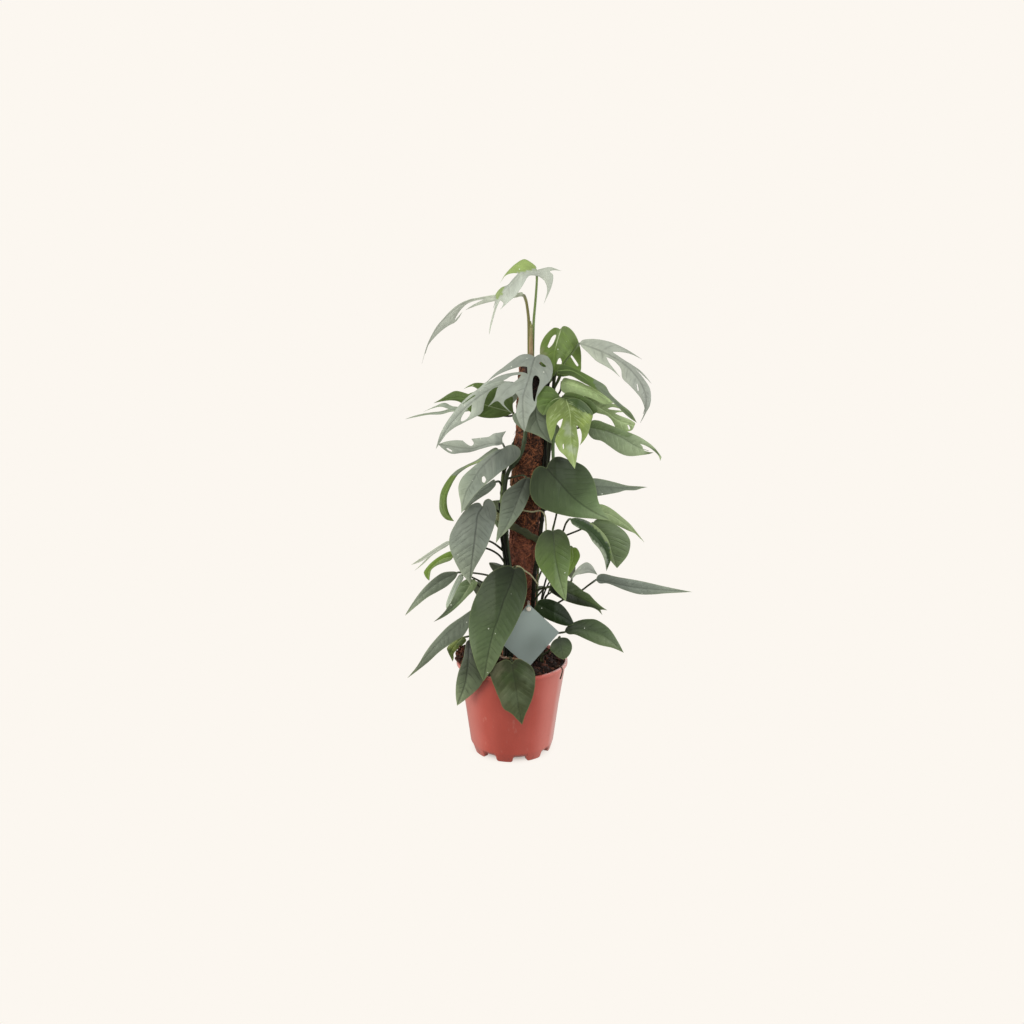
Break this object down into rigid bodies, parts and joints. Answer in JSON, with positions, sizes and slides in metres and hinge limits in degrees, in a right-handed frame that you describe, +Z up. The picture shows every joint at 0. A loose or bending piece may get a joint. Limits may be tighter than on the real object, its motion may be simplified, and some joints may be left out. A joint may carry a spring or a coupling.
{
  "type": "potted silver-leaved climbing aroid on a coir pole",
  "caption": "Climbing aroid with long silvery and split green leaves on a fibre pole, in a round plastic nursery pot with a hanging tag.",
  "frame": {"origin": "on the pot's axis at the level of its feet, on the underside of the hub in the middle of the pot's floor", "axes": "+Z up along the pot's axis, -Y to the front that the picture shows, +X to the viewer's right"},
  "size_m": [0.3642, 0.2243, 0.6061],
  "materials": {
    "pot_plastic": "smooth moulded, soft sheen",
    "soil": "loose dark bark and peat mix, matt",
    "pole_wood": "rough sawn round core",
    "coir": "coarse reddish-brown fibre",
    "tie_plastic": "soft green binding band",
    "tag_card": "matt coated card, grey-blue",
    "pin_wood": "pale smooth peg",
    "stem": "green, slightly waxy",
    "stem_dark": "dark olive, slightly waxy",
    "leaf_silver": "silvery, satin",
    "leaf_grey_green": "grey-green, satin",
    "leaf_dark_green": "dark green, satin",
    "leaf_mid_green": "mid green, satin",
    "leaf_fresh_green": "fresh green, satin",
    "leaf_lime": "yellow-green, satin"
  },
  "bodies": {
    "root": {"pot": "pot_plastic", "soil": "soil", "pole_core": "pole_wood", "coir_wrap": "coir", "tie_band": "tie_plastic", "tag_card": "tag_card", "tag_pin": "pin_wood", "vine_left": "stem", "vine_front": "stem", "vine_right": "stem_dark", "leaf_top_split": "leaf_silver", "leaf_top_left_long": "leaf_silver", "leaf_crown_rounded": "leaf_mid_green", "leaf_crown_silver": "leaf_silver", "leaf_crown_right": "leaf_silver", "leaf_crown_arching": "leaf_dark_green", "leaf_upper_right_pale": "leaf_fresh_green", "leaf_upper_right_windowed": "leaf_fresh_green", "leaf_upper_right_dark": "leaf_dark_green", "leaf_upper_right_fingered": "leaf_fresh_green", "leaf_upper_middle_veined": "leaf_mid_green", "leaf_upper_middle_grey": "leaf_grey_green", "leaf_right_grey_long": "leaf_grey_green", "leaf_left_silver_long": "leaf_silver", "leaf_left_dark_split": "leaf_dark_green", "leaf_left_thin_forked": "leaf_grey_green", "leaf_left_silver_flat": "leaf_silver", "leaf_left_curving": "leaf_mid_green", "leaf_left_grey_ovate": "leaf_grey_green", "leaf_left_dark_strip": "leaf_dark_green", "leaf_left_grey_large": "leaf_grey_green", "leaf_left_lime_curl": "leaf_lime", "leaf_left_thin_fingers": "leaf_grey_green", "leaf_lower_left_upper": "leaf_grey_green", "leaf_lower_left_strip": "leaf_grey_green", "leaf_lower_left_drip_tip": "leaf_mid_green", "leaf_lower_left_long": "leaf_grey_green", "leaf_old_over_rim": "leaf_lime", "leaf_middle_grey_green": "leaf_grey_green", "leaf_middle_dark_large": "leaf_dark_green", "leaf_right_grey_blade": "leaf_grey_green", "leaf_right_light_tip": "leaf_mid_green", "leaf_right_green": "leaf_mid_green", "leaf_right_dark_narrow": "leaf_dark_green", "leaf_middle_right_green": "leaf_mid_green", "leaf_middle_right_behind": "leaf_dark_green", "leaf_lower_right_small_pale": "leaf_grey_green", "leaf_lower_right_long": "leaf_grey_green", "leaf_lower_right_twin_tip": "leaf_dark_green", "leaf_lower_right_dark": "leaf_dark_green", "leaf_lower_right_green": "leaf_mid_green", "leaf_lower_right_small": "leaf_mid_green", "leaf_front_largest": "leaf_dark_green", "leaf_front_left_veined": "leaf_mid_green", "leaf_front_over_rim": "leaf_dark_green", "back_shoot_tall": "leaf_mid_green", "back_shoot_left": "leaf_mid_green", "back_shoot_right": "leaf_mid_green"}
  },
  "joints": []
}
